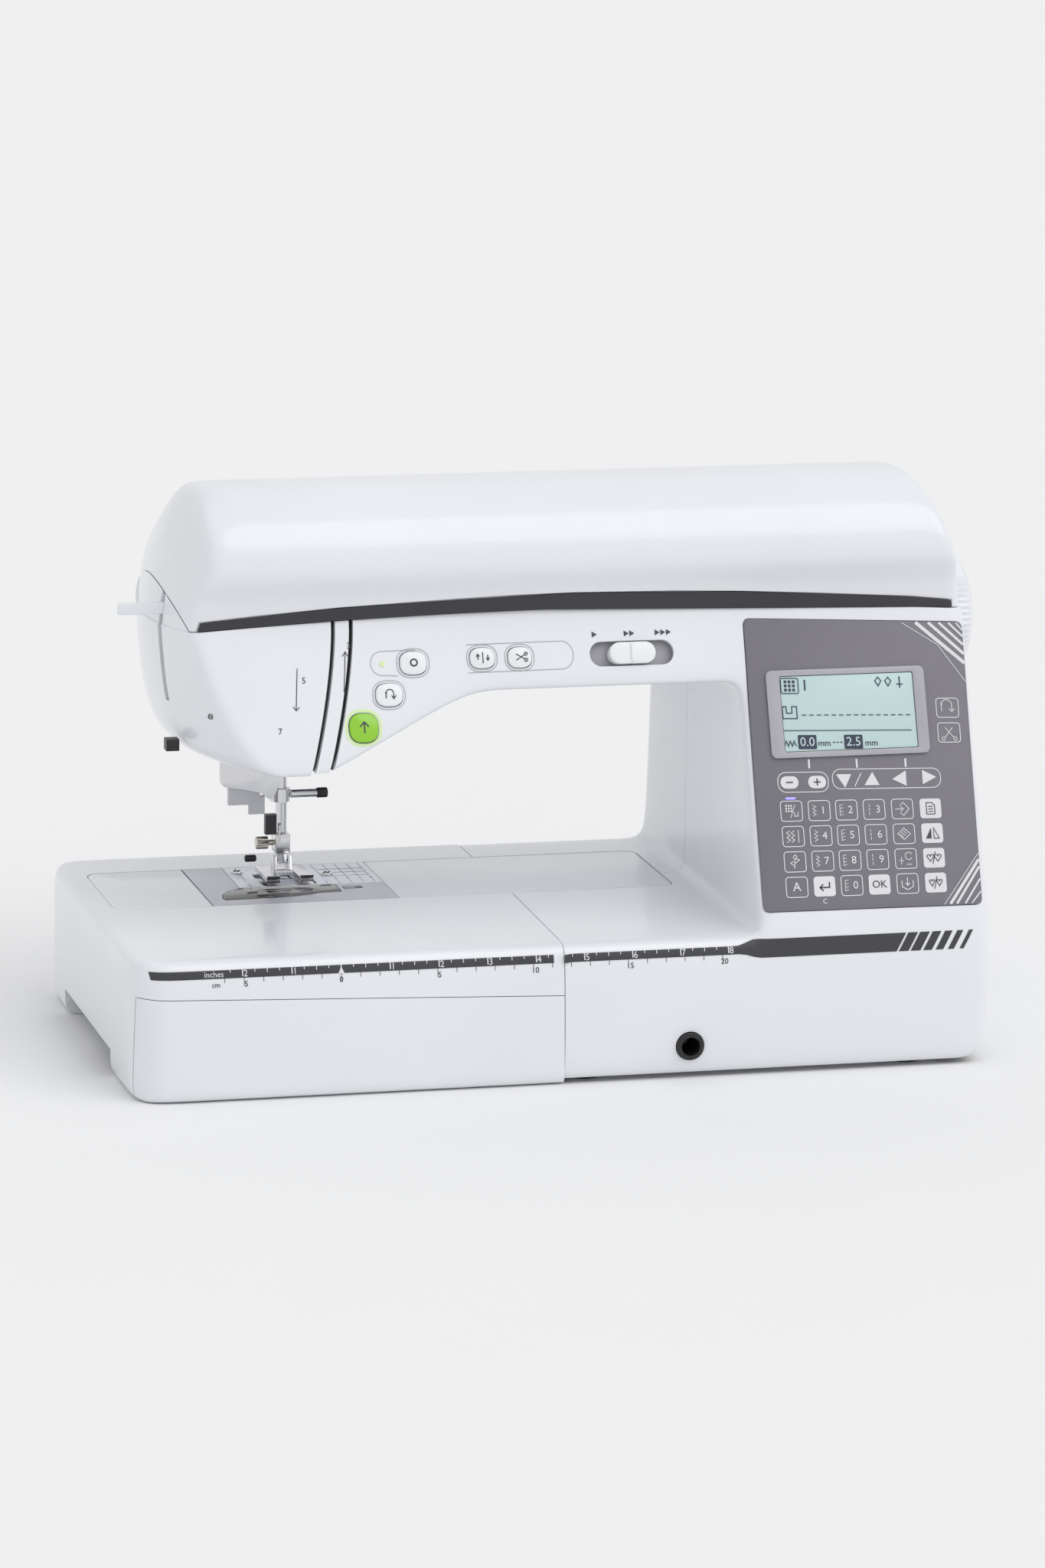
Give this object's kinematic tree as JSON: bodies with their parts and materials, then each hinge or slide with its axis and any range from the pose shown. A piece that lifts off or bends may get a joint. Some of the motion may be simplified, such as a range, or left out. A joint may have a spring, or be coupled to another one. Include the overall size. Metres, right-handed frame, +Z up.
{
  "type": "sewing machine",
  "caption": "Free-arm computerised sewing machine with lift-up lid, control panel, thread slots, speed slider, hand wheel, presser foot and slide-off extension tray",
  "frame": {"origin": "on the table under the middle of the bounding box", "axes": "+X to the operator's right along the bed, +Y from the front to the back, +Z up"},
  "size_m": [0.48, 0.249, 0.2988],
  "materials": {
    "white_plastic": "gloss",
    "grey_plastic": "satin",
    "dark_plastic": "satin",
    "polished_steel": "polished",
    "satin_steel": "satin",
    "cast_aluminium": "cast",
    "motor_steel": "satin",
    "rubber": "matt",
    "green_plastic": "gloss",
    "clear_plastic": "clear",
    "panel_film": "satin",
    "lcd_glass": "gloss"
  },
  "bodies": {
    "machine": {"front_cover": "white_plastic", "rear_cover": "white_plastic", "face_cover": "white_plastic", "thread_guide_cover": "white_plastic", "base_plate": "satin_steel", "main_frame": "cast_aluminium", "free_arm_cover": "white_plastic", "needle_plate": "satin_steel", "plate_cover": "grey_plastic", "top_deck": "grey_plastic", "control_panel": "panel_film", "lcd_frame": "grey_plastic", "lcd_screen": "lcd_glass", "main_motor": "motor_steel", "drive_belt": "rubber", "timing_belt": "rubber", "power_inlet": "dark_plastic", "knee_lifter_socket": "grey_plastic", "foot_1": "rubber", "foot_2": "rubber", "foot_3": "rubber", "foot_4": "rubber", "spool_pin": "white_plastic", "bobbin_case": "dark_plastic", "needle_guard": "grey_plastic"},
    "lid": {"top_lid": "white_plastic", "lid_accent_strip": "dark_plastic"},
    "tray": {"tray_body": "white_plastic"},
    "door": {"tray_door": "white_plastic"},
    "drive": {"handwheel": "white_plastic", "main_shaft": "polished_steel"},
    "pulley": {"motor_pulley": "polished_steel"},
    "lower": {"lower_shaft": "polished_steel"},
    "hook": {"rotary_hook": "polished_steel"},
    "bobbin_body": {"bobbin": "clear_plastic"},
    "feed": {"feed_dog": "polished_steel"},
    "needle_carrier": {"needle_bar_frame": "cast_aluminium"},
    "needle_group": {"needle_bar": "polished_steel", "needle_clamp": "polished_steel", "needle": "polished_steel"},
    "clamp_screw": {"needle_clamp_screw": "polished_steel"},
    "take_up": {"take_up_lever": "polished_steel"},
    "presser_lift": {"presser_lever": "grey_plastic"},
    "presser": {"presser_bar": "polished_steel", "presser_foot_holder": "polished_steel"},
    "foot_screw": {"holder_screw": "polished_steel"},
    "sewing_foot": {"presser_foot": "polished_steel"},
    "threader": {"threader_lever": "white_plastic", "threader_head": "grey_plastic"},
    "button_start": {"start_stop_button": "green_plastic"},
    "button_reverse": {"reverse_button": "white_plastic"},
    "button_reinforce": {"reinforce_button": "white_plastic"},
    "button_needle": {"needle_position_button": "white_plastic"},
    "button_cut": {"thread_cutter_button": "white_plastic"},
    "speed": {"speed_slider": "white_plastic"},
    "switch": {"power_switch": "dark_plastic"},
    "winder": {"bobbin_winder": "white_plastic"},
    "cap": {"spool_cap": "white_plastic"},
    "cover_plate": {"bobbin_cover": "clear_plastic"},
    "latch": {"bobbin_cover_latch": "grey_plastic"}
  },
  "joints": [
    {"name": "lid_hinge", "type": "hinge", "parent": "machine", "child": "lid", "pos_m": [0, 0.1062, 0.2335], "axis": [-1, 0, 0], "range_deg": [0, 75]},
    {"name": "tray_slide", "type": "slide", "parent": "machine", "child": "tray", "axis": [-1, 0, 0], "range_m": [0, 0.23]},
    {"name": "door_hinge", "type": "hinge", "parent": "tray", "child": "door", "pos_m": [-0.12, -0.1235, 0.003], "axis": [1, 0, 0], "range_deg": [0, 65]},
    {"name": "handwheel_turn", "type": "hinge", "parent": "machine", "child": "drive", "pos_m": [0.1, 0.038, 0.208], "axis": [1, 0, 0], "continuous": true},
    {"name": "motor_turn", "type": "hinge", "parent": "machine", "child": "pulley", "pos_m": [0.17, -0.005, 0.115], "axis": [1, 0, 0], "continuous": true},
    {"name": "lower_shaft_turn", "type": "hinge", "parent": "machine", "child": "lower", "pos_m": [0, 0.052, 0.034], "axis": [1, 0, 0], "continuous": true},
    {"name": "hook_turn", "type": "hinge", "parent": "machine", "child": "hook", "pos_m": [-0.1251, 0.0345, 0.05], "axis": [0, 0, 1], "continuous": true},
    {"name": "bobbin_turn", "type": "hinge", "parent": "machine", "child": "bobbin_body", "pos_m": [-0.1251, 0.0345, 0.055], "axis": [0, 0, 1], "continuous": true},
    {"name": "feed_slide", "type": "slide", "parent": "machine", "child": "feed", "axis": [0, 1, 0], "range_m": [-0.0025, 0.0025]},
    {"name": "needle_swing", "type": "slide", "parent": "machine", "child": "needle_carrier", "axis": [1, 0, 0], "range_m": [0, 0.007]},
    {"name": "needle_stroke", "type": "slide", "parent": "needle_carrier", "child": "needle_group", "axis": [0, 0, -1], "range_m": [0, 0.03]},
    {"name": "clamp_screw_turn", "type": "hinge", "parent": "needle_group", "child": "clamp_screw", "pos_m": [-0.12, 0.05, 0.1194], "axis": [1, 0, 0], "range_deg": [-360, 0]},
    {"name": "take_up_turn", "type": "hinge", "parent": "machine", "child": "take_up", "pos_m": [-0.1247, 0.02, 0.209], "axis": [1, 0, 0], "range_deg": [0, 35]},
    {"name": "presser_lift_turn", "type": "hinge", "parent": "machine", "child": "presser_lift", "pos_m": [-0.1118, 0.0892, 0.18], "axis": [0, -1, 0], "range_deg": [0, 60]},
    {"name": "presser_slide", "type": "slide", "parent": "machine", "child": "presser", "axis": [0, 0, 1], "range_m": [0, 0.008]},
    {"name": "holder_screw_turn", "type": "hinge", "parent": "presser", "child": "foot_screw", "pos_m": [-0.135, 0.063, 0.0905], "axis": [1, 0, 0], "range_deg": [-360, 0]},
    {"name": "foot_rock", "type": "hinge", "parent": "presser", "child": "sewing_foot", "pos_m": [-0.1251, 0.0619, 0.08], "axis": [1, 0, 0], "range_deg": [-3, 3]},
    {"name": "threader_slide", "type": "slide", "parent": "machine", "child": "threader", "axis": [0, 0, -1], "range_m": [0, 0.022], "stiffness_N_per_m": 60, "springref_m": -0.012},
    {"name": "start_press", "type": "slide", "parent": "machine", "child": "button_start", "axis": [0, 0.9336, -0.3584], "range_m": [0, 0.0015], "stiffness_N_per_m": 300, "springref_m": -0.0015},
    {"name": "reverse_press", "type": "slide", "parent": "machine", "child": "button_reverse", "axis": [0, 0.9336, -0.3584], "range_m": [0, 0.0015], "stiffness_N_per_m": 300, "springref_m": -0.0015},
    {"name": "reinforce_press", "type": "slide", "parent": "machine", "child": "button_reinforce", "axis": [0, 0.9336, -0.3584], "range_m": [0, 0.0015], "stiffness_N_per_m": 300, "springref_m": -0.0015},
    {"name": "needle_press", "type": "slide", "parent": "machine", "child": "button_needle", "axis": [0, 0.9336, -0.3584], "range_m": [0, 0.0015], "stiffness_N_per_m": 300, "springref_m": -0.0015},
    {"name": "cut_press", "type": "slide", "parent": "machine", "child": "button_cut", "axis": [0, 0.9336, -0.3584], "range_m": [0, 0.0015], "stiffness_N_per_m": 300, "springref_m": -0.0015},
    {"name": "speed_slide", "type": "slide", "parent": "machine", "child": "speed", "axis": [1, 0, 0], "range_m": [-0.0095, 0.0095]},
    {"name": "switch_rock", "type": "hinge", "parent": "machine", "child": "switch", "pos_m": [0.2105, 0.072, 0.068], "axis": [0, 0, 1], "range_deg": [0, 12]},
    {"name": "winder_slide", "type": "slide", "parent": "machine", "child": "winder", "axis": [1, 0, 0], "range_m": [0, 0.008]},
    {"name": "cap_slide", "type": "slide", "parent": "machine", "child": "cap", "axis": [-1, 0, 0], "range_m": [0, 0.01]},
    {"name": "cover_lift", "type": "slide", "parent": "machine", "child": "cover_plate", "axis": [0, 0, 1], "range_m": [0, 0.015]},
    {"name": "latch_slide", "type": "slide", "parent": "machine", "child": "latch", "axis": [1, 0, 0], "range_m": [0, 0.003]}
  ],
  "couplings": [
    {"joint": "motor_turn", "follows": "handwheel_turn", "ratio": 2.5},
    {"joint": "lower_shaft_turn", "follows": "handwheel_turn", "ratio": 1},
    {"joint": "hook_turn", "follows": "handwheel_turn", "ratio": 2},
    {"joint": "presser_slide", "follows": "presser_lift_turn", "m_per_rad": 0.007639}
  ]
}
